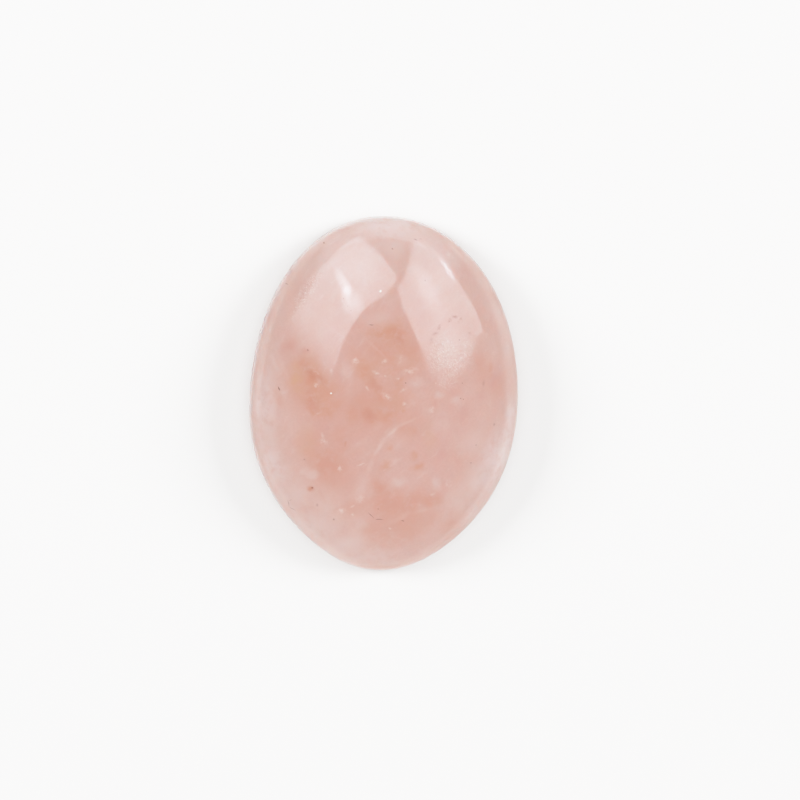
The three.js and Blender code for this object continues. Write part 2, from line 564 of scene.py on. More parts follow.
# Painted shade: the rim darker where it mirrors nothing pale, and a thin painted contact shadow along the
# bottom edge
PAINTED_RIM_SHADE = (
    (0.3, -19.6, 9.0, 0.9, 0, 0.7), (8.0, -16.2, 3.0, 9.0, -55, 0.9), (-13.3, 8.4, 2.2, 7.5, -28, 0.6),
    (14.6, 2.6, 1.4, 7.0, 5, 0.5), (12.7, 10.4, 1.6, 8.0, 32, 0.6), (-9.0, 17.0, 1.6, 7.0, -52, 0.7),
)
LILAC_BLOTCH = ((-8.3, -8.7, 1.9, 1.7, 20, 0.6), (-9.0, -8.3, 2.0, 1.4, 10, 0.35))
VEILS = (
    (2.0, -2.5, 0.6, 3.6, -64, 0.22), (0.4, -3.5, 0.6, 3.2, -46, 0.32), (-1.1, -5.4, 0.7, 3.8, -30, 0.28),
    (-2.0, -7.6, 0.9, 4.2, -18, 0.2), (-2.9, -10.0, 2.0, 6.0, -18, 0.2), (1.2, -4.6, 2.6, 4.4, -50, 0.12),
    (6.5, 5.3, 5.8, 6.4, -20, 0.38), (8.4, 5.8, 3.2, 3.0, 0, 0.3), (1.6, -13.4, 1.0, 5.4, -62, 0.16),
    (4.0, -12.6, 0.9, 4.0, -75, 0.16), (-5.6, 7.0, 0.5, 7.0, 52, 0.1), (-1.6, 5.6, 0.5, 6.0, 48, 0.12),
    (-11.6, 3.0, 0.9, 6.0, 24, 0.12),
)
WHITE_FLECKS = (
    (-3.9, 4.2, 1.1, 1.2, 0, 0.8), (-0.7, 4.3, 0.7, 1.1, -60, 0.7), (-1.5, 2.9, 0.6, 1.8, 60, 0.6),
    (-0.6, 2.6, 0.5, 0.5, 0, 0.8), (0.8, 2.3, 0.5, 0.5, 0, 0.8), (-0.4, 0.4, 1.1, 1.8, 55, 0.65),
    (-2.6, 1.3, 0.4, 1.4, 40, 0.45), (-8.1, 1.4, 0.8, 0.8, 0, 0.8), (-6.5, 3.1, 0.6, 0.9, 0, 0.35),
    (-8.1, 2.8, 0.5, 1.4, 60, 0.3), (2.1, 3.2, 1.1, 2.6, -80, 0.6), (1.1, 4.4, 0.7, 2.0, -20, 0.35),
    (1.4, 1.1, 0.5, 1.6, -60, 0.4), (1.6, -0.5, 0.6, 1.0, 80, 0.5), (5.1, 1.8, 0.5, 0.5, 0, 0.7),
    (4.7, -1.1, 0.9, 1.0, 0, 0.6), (3.9, -3.8, 0.6, 0.6, 0, 0.4), (-7.2, -4.8, 1.3, 1.1, 0, 0.55),
    (-7.3, -4.2, 0.5, 1.6, 10, 0.35), (-5.3, -7.8, 0.35, 1.1, 0, 0.7), (-5.3, -7.8, 0.35, 1.1, 60, 0.7),
    (-5.3, -7.8, 0.35, 1.1, -60, 0.7), (-3.0, -7.3, 0.4, 1.5, -65, 0.6), (-4.9, -12.7, 0.9, 1.4, 85, 0.7),
    (-3.8, -12.2, 0.4, 1.3, -50, 0.45), (-3.7, -13.1, 0.5, 0.5, 0, 0.55), (-2.9, -11.3, 1.5, 1.4, 0, 0.6),
    (0.6, -14.7, 0.5, 0.8, 60, 0.7), (5.2, -10.7, 0.5, 0.9, -70, 0.5), (6.9, -9.5, 1.2, 1.6, 0, 0.4),
    (-7.8, -1.7, 0.4, 1.3, -60, 0.3), (6.7, 15.7, 1.4, 1.0, -30, 0.5),
)
RING_MIDDLE = ((-2.9, -11.3, 0.7, 0.6, 0, 0.7),)
# Painted glints: two white dots of mirrored light
GLINTS = ((-6.5, 0.6, 0.28, 0.28, 0, 1.0), (-1.2, 11.9, 0.28, 0.26, 0, 1.0))
SOILED_PITS = (
    (6.6, 8.7, 0.6, 1.0, -20, 0.7), (7.2, 9.1, 1.3, 0.6, 5, 0.7), (7.9, 8.8, 0.6, 0.8, 20, 0.7),
    (7.6, 8.5, 0.6, 0.5, 0, 0.5), (5.4, 8.0, 0.6, 1.4, -30, 0.6), (4.9, 7.3, 1.2, 0.7, 20, 0.6),
    (4.5, 6.5, 0.7, 1.4, -10, 0.4), (8.9, 7.4, 0.6, 0.8, 30, 0.45), (-9.3, 11.6, 0.8, 5.0, -33, 0.25),
)
HAIRS_AND_SPECKS = (
    (-12.1, 0.8, 0.2, 0.75, 25, 1.0), (-10.7, -12.3, 0.14, 1.1, 15, 0.6), (-10.2, -12.9, 0.14, 1.1, 65, 0.65),
    (-10.5, -11.9, 0.12, 0.6, -60, 0.4), (-1.7, -13.1, 0.13, 1.4, 45, 0.7), (-0.7, -13.6, 0.15, 1.3, 85, 0.75),
    (1.9, -13.8, 0.16, 0.5, 85, 0.8), (-0.9, -12.4, 0.22, 0.22, 0, 0.6), (8.0, 0.1, 0.2, 0.2, 0, 0.8),
    (8.3, 0.0, 0.18, 0.2, 0, 0.7), (8.1, 1.8, 0.2, 0.2, 0, 0.7), (1.7, 1.9, 0.24, 0.24, 0, 0.8),
    (10.6, 1.7, 0.6, 1.1, 0, 0.2), (12.0, -3.0, 0.4, 0.5, 0, 0.35), (9.4, -7.2, 0.25, 0.2, 0, 0.6),
    (9.9, -5.2, 0.3, 0.3, 0, 0.35), (-9.2, -7.0, 0.35, 0.3, 0, 0.35), (-7.6, -12.2, 0.4, 0.6, 0, 0.3),
    (-5.7, -13.8, 0.35, 0.3, 0, 0.5), (-9.1, 5.2, 0.3, 0.3, 0, 0.6), (-7.2, 16.8, 0.3, 0.3, 0, 0.7),
    (-11.3, 12.2, 0.15, 0.6, 70, 0.7), (0.2, 16.4, 0.25, 0.25, 0, 0.6), (3.8, 13.1, 0.3, 0.3, 0, 0.5),
    (-2.2, 8.2, 0.14, 0.8, 80, 0.7), (2.8, 17.4, 0.25, 0.7, 70, 0.6), (3.4, 17.5, 0.2, 0.5, 85, 0.3),
    (7.7, 6.6, 0.22, 0.25, 0, 0.7), (-5.2, 11.0, 0.16, 0.16, 0, 0.6), (-4.8, 10.2, 0.16, 0.16, 0, 0.6),
    (-4.4, 9.7, 0.16, 0.16, 0, 0.5),
)
RUST_HALO = ((-8.4, -10.3, 1.3, 1.1, 0, 0.8),)
RUST_PINHOLE = ((-8.2, -10.2, 0.34, 0.34, 0, 0.7),)
PITTED_SKIN = (
    (6.0, 4.9, 5.8, 6.4, -20, 0.9), (7.4, 3.9, 3.6, 8.0, -42, 1.0), (8.6, 6.2, 2.8, 2.8, 0, 0.8),
    (6.4, 1.9, 4.0, 3.0, 20, 0.7), (-9.3, 11.4, 2.2, 9.5, -33, 0.8), (-5.0, 10.6, 1.6, 3.0, 15, 0.3),
)
LAYERS = (
    Layer(Tint.ROSE, ROSE_CLOUDS),
    Layer(Tint.AMBER, AMBER_CLOUDS),
    Layer(Tint.CLAY, BROAD_STAINS, Drift.FINE),
    Layer(Tint.OCHRE, OCHRE_CLOUDS),
    Layer(Tint.CLAY, CLAY_CLOUDS, edge=0.2),
    Layer(Tint.DEEP, DEEP_CLOUDS),
    Layer(Tint.MILK, MILKY_CLOUDS),
    Layer(Tint.MILK, BROAD_MISTS, Drift.FINE),
    Layer(Tint.SHEEN_AND_FROST, RIM_SHEEN_AND_FROST),
    Layer(Tint.SHADE, PAINTED_RIM_SHADE, Drift.FINE),
    Layer(Tint.MILK, LILAC_BLOTCH, Drift.FINE, edge=0.3),
    Layer(Tint.CRACK, VEILS, Drift.FINE),
    Layer(Tint.CRACK, WHITE_FLECKS, Drift.FRAYED),
    Layer(Tint.BODY, RING_MIDDLE, Drift.FINE),
    Layer(Tint.GLINT, GLINTS, Drift.FINE, edge=0.4),
    Layer(Tint.SOIL, SOILED_PITS, Drift.FRAYED),
    Layer(Tint.HAIR, HAIRS_AND_SPECKS, Drift.FINE),
    Layer(Tint.DEEP, RUST_HALO, Drift.FINE),
    Layer(Tint.RUST, RUST_PINHOLE, Drift.FINE),
)
# Its glint tint is laid as painted sparkle; its share also dulls and roughens the polish
PITTED = Layer(Tint.GLINT, PITTED_SKIN, Drift.FRAYED)


@dataclass(frozen=True)
class OutlineWave:
    """One of the low waves by which the hand-ground outline leaves a true oval."""

    count: int  # crests around the stone
    height: float  # millimetres
    crest: float  # degrees from +X towards +Y, to one of the crests

    def phase(self) -> float:
        """Returns the direction of that crest times the count, in radians."""
        return self.count * math.radians(self.crest)


@dataclass(frozen=True)
class Nick:
    """A small loss at the girdle, in millimetres."""

    x: float
    y: float
    z: float
    radius: float
    depth: float


@dataclass
class OvalStone:
    """The whole stone: a low dome over a narrow girdle, a bevel and a flat back. Sizes in millimetres."""

    width: float
    length: float
    height: float
    dome_rise: float = 5.8
    girdle_draft: float = 0.1
    bevel: float = 0.5
    edge_angle: float = 80.0  # degrees of the dome's ellipse, from its top to the girdle
    waves: tuple[OutlineWave, ...] = (
        OutlineWave(3, 0.04, -12),
        OutlineWave(4, 0.06, 10),
        OutlineWave(5, 0.11, -20),
        OutlineWave(6, 0.05, 27),
    )
    wave_fade_power: float = 3.0  # the waves die out towards the top of the dome
    nicks: tuple[Nick, ...] = (
        Nick(12.2, 12.0, 1.9, 0.7, 0.16),
        Nick(-11.0, 13.7, 1.8, 0.5, 0.1),
    )
    fineness: int = 201  # points along each side of the dome's grid
    rim_rows: int = 13
    girdle_rows_share: float = 0.66
    softened: int = 3  # passes that round the edges, as polishing does
    softened_above: tuple[float, float] = (0.7, 0.2)  # above the girdle, where they set in and are full
    unevenness: float = 0.03  # how far hand grinding leaves the true dome
    unevenness_size: float = 9.0
    uneven_above: tuple[float, float] = (0.1, 2.0)  # above the girdle, where it sets in and is full
    seed: float = 7.0

    def sizes(self) -> dict[str, float | int]:
        """Returns the named inputs of the node tree, with lengths in metres and angles in radians."""
        mean_radius = (self.width + self.length) / 4
        return {
            "Width": self.width * MM,
            "Length": self.length * MM,
            "Height": self.height * MM,
            "Mean Radius": mean_radius * MM,
            "Stretch": (self.length - self.width) / 4 * MM,
            "Dome Rise": self.dome_rise * MM,
            "Dome Edge Angle": math.radians(self.edge_angle),
            "Girdle Height": (self.height - self.dome_rise - self.bevel) * MM,
            "Girdle Draft": self.girdle_draft * MM,
            "Bevel": self.bevel * MM,
            "Fineness": self.fineness,
            "Rim Rows": self.rim_rows,
            "Girdle Share": self.girdle_rows_share,
            "Softened": self.softened,
            "Unevenness": self.unevenness * MM,
            "Unevenness Size": self.unevenness_size * MM,
            "Seed": self.seed,
        }

    def build(self, finish: bpy.types.Material) -> bpy.types.Object:
        """Makes the stone with Geometry Nodes and turns it into a plain mesh.

        Args:
            finish: the material of the whole stone.

        Returns:
            The stone.
        """
        stone = bpy.data.objects.new("polished_stone", bpy.data.meshes.new("polished_stone"))
        bpy.context.scene.collection.objects.link(stone)
        sizes = self.sizes()
        tree = self._tree(sizes, finish)
        maker = stone.modifiers.new("oval_stone", "NODES")
        maker.node_group = tree
        for item in tree.interface.items_tree:
            if item.in_out == "INPUT" and item.name in sizes:
                maker[item.identifier] = sizes[item.name]
        evaluated = stone.evaluated_get(bpy.context.evaluated_depsgraph_get())
        mesh = bpy.data.meshes.new_from_object(evaluated)
        mesh.name = "polished_stone"
        stone.modifiers.clear()
        stone.data = mesh
        return stone

    def _tree(self, sizes: dict[str, float | int], finish: bpy.types.Material) -> Tree:
        """Builds the node tree that shapes a cube's grid into the stone.

        Args:
            sizes: the named inputs and their values.
            finish: the material of the whole stone.

        Returns:
            The node tree.
        """
        tree = bpy.data.node_groups.new("oval_stone", "GeometryNodeTree")
        tree.interface.new_socket("Geometry", in_out="OUTPUT", socket_type="NodeSocketGeometry")
        for name, value in sizes.items():
            kind = "NodeSocketInt" if isinstance(value, int) else "NodeSocketFloat"
            tree.interface.new_socket(name, in_out="INPUT", socket_type=kind).default_value = value
        given = add_node(tree, "NodeGroupInput").node.outputs
        size = {name: given[name] for name in sizes}
        fine = size["Fineness"]
        grid = {"Vertices X": fine, "Vertices Y": fine, "Vertices Z": size["Rim Rows"]}
        body = add_node(tree, "GeometryNodeMeshCube", {"Size": (2, 2, 2), **grid})
        place = self._place(tree, size)
        body = add_node(tree, "GeometryNodeSetPosition", {"Geometry": body, "Position": place})
        body = self._soften(tree, size, body)
        body = self._uneven(tree, size, body)
        body = self._nick(tree, body)
        body = self._fit(tree, size, body)
        body = add_node(tree, "GeometryNodeSetShadeSmooth", {"Geometry": body})
        body = add_node(tree, "GeometryNodeRealizeInstances", {"Geometry": body})
        body = add_node(tree, "GeometryNodeSetMaterial", {"Geometry": body, "Material": finish})
        add_node(tree, "NodeGroupOutput", {0: body})
        return tree

    def _place(self, tree: Tree, size: dict[str, Socket]) -> Socket:
        """Works out where each point of the cube's grid goes.

        The cube's upper face becomes the dome, its sides the girdle and the bevel, and its lower face
        the flat back. Each face's square is first pressed into a disc.

        Args:
            tree: the node tree.
            size: the tree's named inputs.

        Returns:
            The new place.
        """
        position = add_node(tree, "GeometryNodeInputPosition")
        x, y, z = add_node(tree, "ShaderNodeSeparateXYZ", {0: position}).node.outputs
        disc = {"x": x, "y": y}
        for main, other in (("x", "y"), ("y", "x")):
            steps = (
                ("square", "MULTIPLY", other, other),
                ("rest", "MULTIPLY_ADD", "square", -0.5, 1.0),
                ("root", "SQRT", "rest"),
                (f"disc {main}", "MULTIPLY", main, "root"),
            )
            disc |= work_out(tree, {"x": x, "y": y}, steps)
        flat = add_node(tree, "ShaderNodeCombineXYZ", {"X": disc["disc x"], "Y": disc["disc y"]})
        out = add_node(tree, "ShaderNodeVectorMath", {0: flat}, "Value", operation="LENGTH")
        found = work_out(tree, {**size, **disc, "out": out, "z": z}, self._section())
        for wave in self.waves:
            steps = (
                ("turned", "MULTIPLY_ADD", "direction", float(wave.count), -wave.phase()),
                ("swing", "COSINE", "turned"),
                ("waves", "MULTIPLY_ADD", "swing", wave.height * MM, "waves"),
            )
            found = work_out(tree, {"waves": 0.0, **found}, steps)
        oval = (
            ("faded", "POWER", "share", self.wave_fade_power),
            ("wave", "MULTIPLY", "waves", "faded"),
            ("waved", "ADD", "radius", "wave"),
            ("stretch", "MULTIPLY", "Stretch", "share"),
            ("across", "SUBTRACT", "waved", "stretch"),
            ("along", "ADD", "waved", "stretch"),
            ("sideways", "COSINE", "direction"),
            ("endways", "SINE", "direction"),
            ("X", "MULTIPLY", "across", "sideways"),
            ("Y", "MULTIPLY", "along", "endways"),
        )
        found = work_out(tree, found, oval)
        return add_node(tree, "ShaderNodeCombineXYZ", {"X": found["X"], "Y": found["Y"], "Z": found["level"]})

    def _section(self) -> tuple[tuple, ...]:
        """Returns the formula of the round body's section, down from the dome to the girdle and the bevel."""
        almost_top = 0.999  # of the cube, whose faces lie at 1 and -1
        return (
            # Steps of equal angle along the dome's ellipse
            ("direction", "ARCTAN2", "disc y", "disc x"),
            ("angle", "MULTIPLY", "out", "Dome Edge Angle"),
            ("sine", "SINE", "angle"),
            ("cosine", "COSINE", "angle"),
            ("edge sine", "SINE", "Dome Edge Angle"),
            ("edge cosine", "COSINE", "Dome Edge Angle"),
            ("ring", "DIVIDE", "sine", "edge sine"),
            ("above edge", "SUBTRACT", "cosine", "edge cosine"),
            ("full rise", "SUBTRACT", 1.0, "edge cosine"),
            ("share of rise", "DIVIDE", "above edge", "full rise"),
            ("on top", "GREATER_THAN", "z", almost_top),
            ("rise", "MULTIPLY", "share of rise", "on top"),
            ("dome", "MULTIPLY", "rise", "Dome Rise"),
            # Down the cube's sides: first the girdle, then the bevel, each from 0 at its foot to 1
            ("girdle foot", "MULTIPLY_ADD", "Girdle Share", -2.0, 1.0),
            ("above foot", "SUBTRACT", "z", "girdle foot"),
            ("girdle rows", "SUBTRACT", 1.0, "girdle foot"),
            ("up girdle", "DIVIDE", "above foot", "girdle rows"),
            ("up girdle", "MAXIMUM", "up girdle", 0.0),
            ("above base", "ADD", "z", 1.0),
            ("bevel rows", "ADD", "girdle foot", 1.0),
            ("up bevel", "DIVIDE", "above base", "bevel rows"),
            ("up bevel", "MINIMUM", "up bevel", 1.0),
            ("level", "MULTIPLY_ADD", "up girdle", "Girdle Height", "dome"),
            ("level", "MULTIPLY_ADD", "up bevel", "Bevel", "level"),
            ("draft", "MULTIPLY", "up girdle", "Girdle Draft"),
            ("off bevel", "SUBTRACT", 1.0, "up bevel"),
            ("inset", "MULTIPLY_ADD", "off bevel", "Bevel", "draft"),
            ("rim radius", "SUBTRACT", "Mean Radius", "inset"),
            ("radius", "MULTIPLY", "rim radius", "ring"),
            # How far out a point lies, as a share of the girdle's upper edge
            ("upper radius", "SUBTRACT", "Mean Radius", "Girdle Draft"),
            ("ratio", "DIVIDE", "radius", "upper radius"),
            ("share", "MINIMUM", "ratio", 1.0),
        )

    def _above_girdle(self, tree: Tree, place: Socket, heights: tuple[float, float], **settings) -> Socket:
        """Works out how far a place lies between two heights above the girdle's upper edge.

        Args:
            tree: the node tree.
            place: the place.
            heights: the heights that give 0 and 1.
            settings: the range's own properties.

        Returns:
            The share, from 0 to 1.
        """
        rim_top = self.height - self.dome_rise
        up = add_node(tree, "ShaderNodeSeparateXYZ", {0: place}, output="Z")
        low, high = ((rim_top + height) * MM for height in heights)
        ends = {"Value": up, "From Min": low, "From Max": high}
        return add_node(tree, "ShaderNodeMapRange", ends, **settings)

    def _soften(self, tree: Tree, size: dict[str, Socket], body: Socket) -> Socket:
        """Rounds the edges of the girdle and the bevel.

        Args:
            tree: the node tree.
            size: the tree's named inputs.
            body: the stone so far.

        Returns:
            The softened stone.
        """
        place = add_node(tree, "GeometryNodeInputPosition")
        weight = self._above_girdle(tree, place, self.softened_above)
        blur = add_node(
            tree,
            "GeometryNodeBlurAttribute",
            {"Iterations": size["Softened"], "Weight": weight},
            data_type="FLOAT_VECTOR",
        ).node
        value = next(socket for socket in blur.inputs if socket.name == "Value" and socket.type == "VECTOR")
        tree.links.new(place, value)
        result = next(socket for socket in blur.outputs if socket.type == "VECTOR")
        return add_node(tree, "GeometryNodeSetPosition", {"Geometry": body, "Position": result})

    def _uneven(self, tree: Tree, size: dict[str, Socket], body: Socket) -> Socket:
        """Gives the dome the slight unevenness of hand grinding.

        Args:
            tree: the node tree.
            size: the tree's named inputs.
            body: the stone so far.

        Returns:
            The uneven stone.
        """
        place = add_node(tree, "GeometryNodeInputPosition")
        scale = add_node(tree, "ShaderNodeMath", {0: 1.0, 1: size["Unevenness Size"]}, operation="DIVIDE")
        lumps = {"Vector": place, "W": size["Seed"], "Scale": scale, "Detail": 0.0}
        noise = add_node(tree, "ShaderNodeTexNoise", lumps, noise_dimensions="4D")
        centred = add_node(tree, "ShaderNodeMapRange", {"Value": noise, "To Min": -1.0, "To Max": 1.0})
        on_dome = self._above_girdle(tree, place, self.uneven_above, interpolation_type="SMOOTHSTEP")
        share = add_node(tree, "ShaderNodeMath", {0: centred, 1: on_dome}, operation="MULTIPLY")
        reach = add_node(tree, "ShaderNodeMath", {0: share, 1: size["Unevenness"]}, operation="MULTIPLY")
        return self._press(tree, body, reach)

    def _press(self, tree: Tree, body: Socket, reach: Socket) -> Socket:
        """Moves the surface outwards.

        Args:
            tree: the node tree.
            body: the stone so far.
            reach: how far, in metres.

        Returns:
            The changed stone.
        """
        normal = add_node(tree, "GeometryNodeInputNormal")
        shift = add_node(tree, "ShaderNodeVectorMath", {0: normal, "Scale": reach}, operation="SCALE")
        return add_node(tree, "GeometryNodeSetPosition", {"Geometry": body, "Offset": shift})

    def _nick(self, tree: Tree, body: Socket) -> Socket:
        """Presses the small losses into the girdle.

        Args:
            tree: the node tree.
            body: the stone so far.

        Returns:
            The stone with its nicks.
        """
        for nick in self.nicks:
            centre = tuple(Vector((nick.x, nick.y, nick.z)) * MM)
            place = add_node(tree, "GeometryNodeInputPosition")
            both = {0: place, 1: centre}
            away = add_node(tree, "ShaderNodeVectorMath", both, "Value", operation="DISTANCE")
            ends = {"From Min": nick.radius * MM, "From Max": 0.0, "To Max": -nick.depth * MM}
            reach = add_node(
                tree, "ShaderNodeMapRange", {"Value": away, **ends}, interpolation_type="SMOOTHSTEP"
            )
            body = self._press(tree, body, reach)
        return body

    def _fit(self, tree: Tree, size: dict[str, Socket], body: Socket) -> Socket:
        """Brings the stone to its exact width, length and height, with the origin in its middle.

        Args:
            tree: the node tree.
            size: the tree's named inputs.
            body: the stone so far.

        Returns:
            The fitted stone.
        """
        box = add_node(tree, "GeometryNodeBoundBox", {"Geometry": body}).node.outputs
        wanted = {"X": size["Width"], "Y": size["Length"], "Z": size["Height"]}
        known = {
            "low": box["Min"],
            "high": box["Max"],
            "wanted": add_node(tree, "ShaderNodeCombineXYZ", wanted),
            "place": add_node(tree, "GeometryNodeInputPosition"),
        }
        steps = (
            ("both", "ADD", "low", "high"),
            ("middle", "MULTIPLY", "both", (0.5, 0.5, 0.0)),
            ("now", "SUBTRACT", "high", "low"),
            ("factor", "DIVIDE", "wanted", "now"),
            ("centred", "SUBTRACT", "place", "middle"),
            ("fitted", "MULTIPLY", "centred", "factor"),
        )
        fitted = work_out(tree, known, steps, "ShaderNodeVectorMath")["fitted"]
        return add_node(tree, "GeometryNodeSetPosition", {"Geometry": body, "Position": fitted})


class Reach(Enum):
    """What a light does to the stone."""

    GLOSS = "gloss"  # only mirrored in the polish
    BODY = "body"  # only soaks into the stone and the floor
    FLOOR = "floor"  # only lights the floor, where the stone throws its shadow


@dataclass(frozen=True)
class Glow:
    """A patch of a light's face that is brighter or, with a negative gain, dimmer. In millimetres."""

    x: float
    y: float
    wide: float
    tall: float
    gain: float
    edge: float = 0.0  # 0 fades from the middle outwards, towards 1 it keeps an edge
    turn: float = 0.0  # degrees


@dataclass(frozen=True)
class Softbox:
    """A rectangular soft light, sized and placed in millimetres from the stone."""

    name: str
    place: tuple[float, float, float]
    facing: tuple[float, float, float]  # degrees
    wide: float
    tall: float
    radiance: float
    reach: Reach
    glows: tuple[Glow, ...] = ()
    colour: str = "#ffffff"

    def build(self, floor: bpy.types.Object) -> bpy.types.Object:
        """Makes the light.

        Args:
            floor: the floor, for a light that reaches nothing else.

        Returns:
            The light.
        """
        light = bpy.data.lights.new(self.name, "AREA")
        light.shape = "RECTANGLE"
        light.size = self.wide * MM
        light.size_y = self.tall * MM
        light.energy = self.radiance * math.pi * light.size * light.size_y
        light.color = linear(self.colour)[:3]
        if self.glows:
            self._paint(light)
        made = bpy.data.objects.new(self.name, light)
        made.location = Vector(self.place) * MM
        made.rotation_euler = Euler([math.radians(a) for a in self.facing])
        made.visible_camera = False
        made.visible_diffuse = self.reach is not Reach.GLOSS
        made.visible_glossy = self.reach is Reach.GLOSS
        if self.reach is Reach.FLOOR:
            lit = bpy.data.collections.new(f"{self.name}_reach")
            lit.objects.link(floor)
            made.light_linking.receiver_collection = lit
        bpy.context.scene.collection.objects.link(made)
        return made

    def _paint(self, light: bpy.types.Light) -> None:
        """Makes the light's face brighter and dimmer in places, as a tube behind cloth does.

        Args:
            light: the light.
        """
        light.use_nodes = True
        tree = light.node_tree
        tree.nodes.clear()
        across = add_node(tree, "ShaderNodeNewGeometry", output="Parametric")
        spread = {0: across, 1: (self.wide, self.tall, 0), 2: (-self.wide / 2, -self.tall / 2, 0)}
        face = add_node(tree, "ShaderNodeVectorMath", spread, operation="MULTIPLY_ADD")
        strength = 1.0
        for glow in self.glows:
            local = add_node(
                tree,
                "ShaderNodeMapping",
                {
                    "Vector": face,
                    "Location": (glow.x, glow.y, 0),
                    "Rotation": (0, 0, math.radians(glow.turn)),
                    "Scale": (glow.wide / 2, glow.tall / 2, 1),
                },
                vector_type="TEXTURE",
            )
            away = add_node(tree, "ShaderNodeVectorMath", {0: local}, "Value", operation="LENGTH")
            share = add_node(
                tree,
                "ShaderNodeMapRange",
                {"Value": away, "From Min": 1.0, "From Max": glow.edge},
                interpolation_type="SMOOTHSTEP",
            )
            gained = {0: share, 1: glow.gain, 2: strength}
            strength = add_node(tree, "ShaderNodeMath", gained, operation="MULTIPLY_ADD")
        lit = add_node(tree, "ShaderNodeMath", {0: strength, 1: 0.0}, operation="MAXIMUM")
        emission = add_node(tree, "ShaderNodeEmission", {"Strength": lit})
        add_node(tree, "ShaderNodeOutputLight", {"Surface": emission})


LEFT_GLOWS = (
    Glow(-18, 92, 90, 160, 4.4, turn=-24),  # the tube, a little bent
    Glow(-37, 18, 78, 150, 1.6, turn=-14),
    Glow(-45, -60, 74, 190, 1.4, turn=-4),
    Glow(-60, -210, 80, 240, 0.3),
    Glow(-16, 195, 150, 230, 1.2),
    Glow(-170, -20, 500, 760, 0.7),
    Glow(400, 0, 480, 3000, -1.2),
    Glow(90, 480, 660, 410, -8.0, edge=0.94),  # this one and the next round the face off
    Glow(80, -1292, 2600, 2020, -8.0, edge=0.96),
    Glow(-700, -500, 860, 840, -0.6),
)
RIGHT_GLOWS = (
    Glow(20, -292, 180, 54, 4.0, turn=-23),  # the edge of the tube
    Glow(-6, -258, 90, 60, 2.0),
    Glow(35, 20, 360, 330, 1.0),
    Glow(-150, 90, 420, 360, 0.2),
    Glow(20, -180, 240, 220, 0.4),
    Glow(-210, -190, 260, 260, -0.35),
    Glow(-80, 330, 110, 40, 1.5),
    Glow(1155, 200, 1920, 1920, -8.0, edge=0.99),  # from here on they round the face off
    Glow(240, 430, 340, 260, -8.0, edge=0.9),
    Glow(-290, 450, 340, 250, -8.0, edge=0.9),
    Glow(-120, -440, 320, 310, -8.0, edge=0.92),
    Glow(-250, -480, 400, 380, -8.0, edge=0.92),
)
CARD_GLOWS = (Glow(0, 150, 1600, 360, 0.2),)
COOL_WHITE = "#f3f0fa"
GLOSS_LIGHTS = (
    Softbox(
        "left_softbox", (-257, 329, 562), (53.5, -6.9, -132.1), 684, 725, 3.7, Reach.GLOSS,
        LEFT_GLOWS, COOL_WHITE,
    ),
    Softbox(
        "right_softbox", (321.1, 299.7, 575.7), (71.4, -3.9, 119.5), 540, 700, 3.5, Reach.GLOSS,
        RIGHT_GLOWS, COOL_WHITE,
    ),
    Softbox("far_card", (40, 690, 190), (-75, 0, 0), 1170, 380, 2.3, Reach.GLOSS, CARD_GLOWS, COOL_WHITE),
)
BODY_LIGHTS = (Softbox("overhead", (0, 0, 900), (0, 0, 0), 1500, 1500, 1.6, Reach.BODY),)
FLOOR_LIGHTS = (
    Softbox("left_floor_key", (-754, 202, 364), (-65, 0, 75), 350, 280, 44.0, Reach.FLOOR),
    Softbox("right_floor_key", (754, 202, 364), (-65, 0, -75), 350, 280, 44.0, Reach.FLOOR),
)


@dataclass(frozen=True)
class Film:
    """How light becomes tone: true below the knee, and rolled off softly above it."""

    brightest: float = 2.0  # light that shows as white
    knee: float = 0.6
    stops: tuple[float, ...] = (0.3, 0.6, 0.7, 0.8, 0.9, 1.0, 1.2, 1.5, 1.75)

    def tone(self, light: float) -> float:
        """Works out the tone that a light shows as.

        Args:
            light: the light.

        Returns:
            The tone.
        """
        if light <= self.knee:
            return light
        room = 1 - self.knee
        return self.knee + room * (1 - math.exp((self.knee - light) / room))

    def load(self) -> None:
        """Sets the scene's colour curve, one channel at a time, as film has it."""
        view = bpy.context.scene.view_settings
        view.view_transform = "Standard"
        view.look = "None"
        view.use_curve_mapping = True
        mapping = view.curve_mapping
        mapping.white_level = (self.brightest, self.brightest, self.brightest)
        points = mapping.curves[3].points
        points[0].location = (0, 0)
        for light in self.stops:
            points.new(light / self.brightest, self.tone(light))
        points[len(points) - 1].location = (1.0, self.tone(self.brightest))
        mapping.update()


